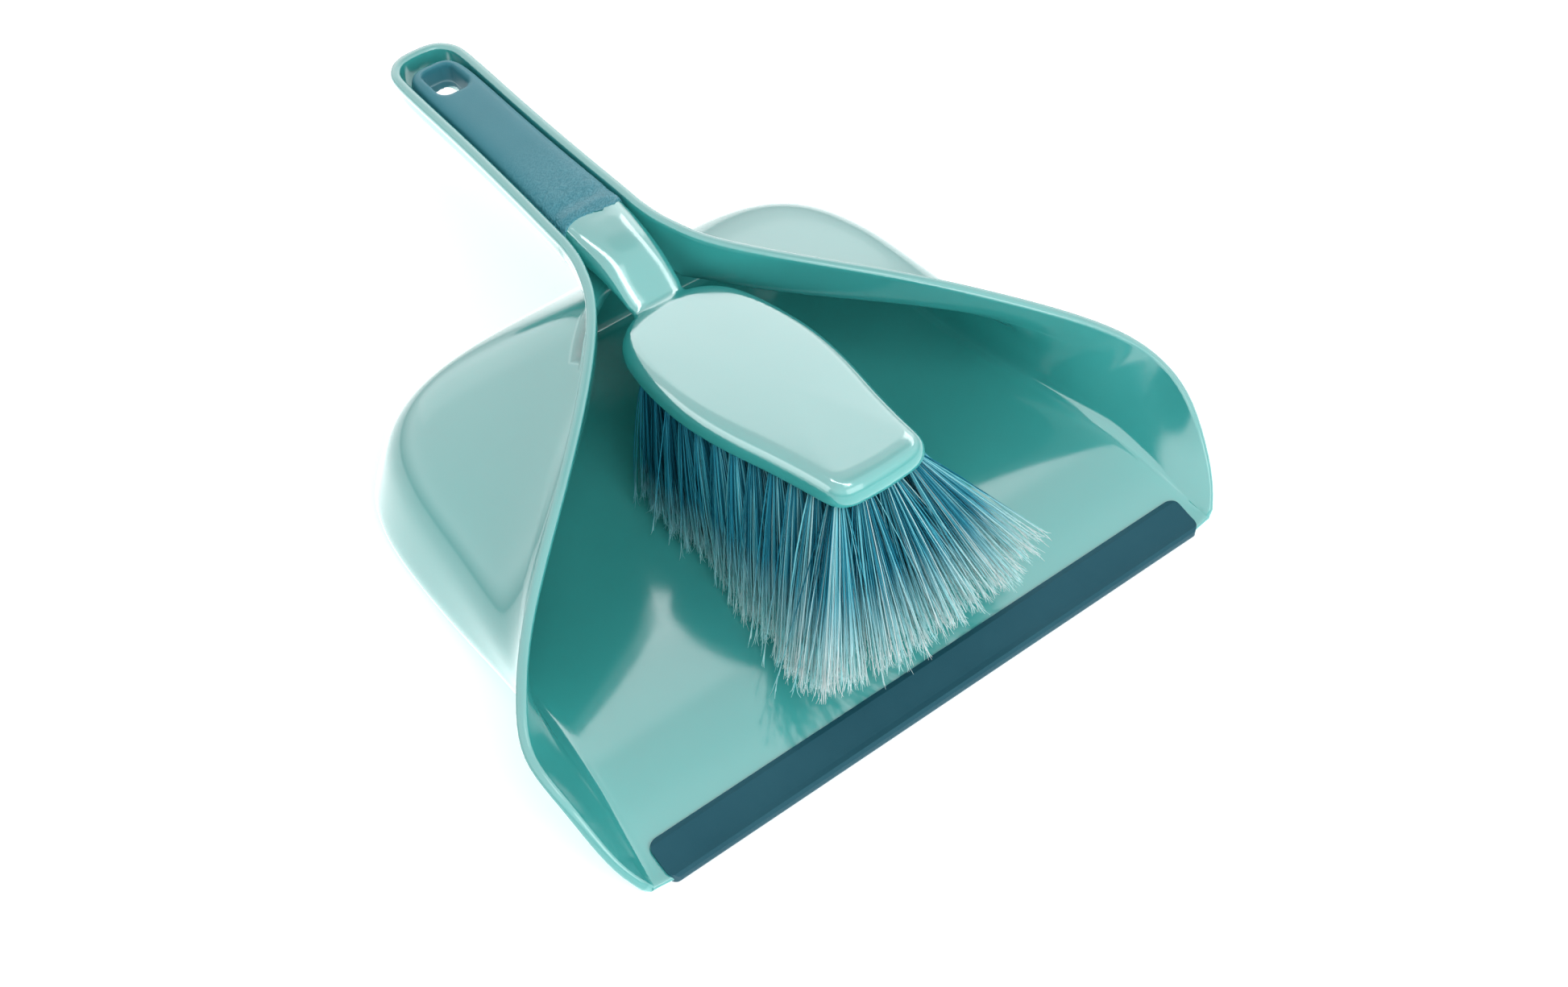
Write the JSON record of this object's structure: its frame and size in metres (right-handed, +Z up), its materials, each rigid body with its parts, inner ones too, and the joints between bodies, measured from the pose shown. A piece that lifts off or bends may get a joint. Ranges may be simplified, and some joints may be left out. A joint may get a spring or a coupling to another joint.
{
  "type": "dust pan and brush set",
  "caption": "Hooded dust pan with a soft lip strip and an open trough handle that carries a hand brush with a soft grip and fanned bristle tufts.",
  "frame": {"origin": "centre of the bounding box on the plane the pan rests on", "axes": "+Z up; +Y from the lip edge towards the handle end; +X to the right seen from behind the handle"},
  "size_m": [0.2774, 0.318, 0.085],
  "materials": {
    "mint_plastic": "glossy moulded polypropylene",
    "lip_rubber": "matte thermoplastic rubber",
    "soft_grip": "matte soft-touch with an engraved texture near the neck",
    "bristle": "fine synthetic filament, flagged pale tips",
    "staple_wire": "plain flat wire"
  },
  "bodies": {
    "pan": {"pan_shell": "mint_plastic", "lip_strip": "lip_rubber"},
    "brush": {"brush_body": "mint_plastic", "brush_grip": "soft_grip", "tuft_anchors": "staple_wire", "tuft_row_01": "bristle", "tuft_row_02": "bristle", "tuft_row_03": "bristle", "tuft_row_04": "bristle", "tuft_row_05": "bristle", "tuft_row_06": "bristle", "tuft_row_07": "bristle", "tuft_row_08": "bristle", "tuft_row_09": "bristle", "tuft_row_10": "bristle", "tuft_row_11": "bristle", "tuft_row_12": "bristle"}
  },
  "joints": [
    {"name": "brush_lift", "type": "slide", "parent": "pan", "child": "brush", "axis": [0, 0, 1], "range_m": [0, 0.15]}
  ]
}
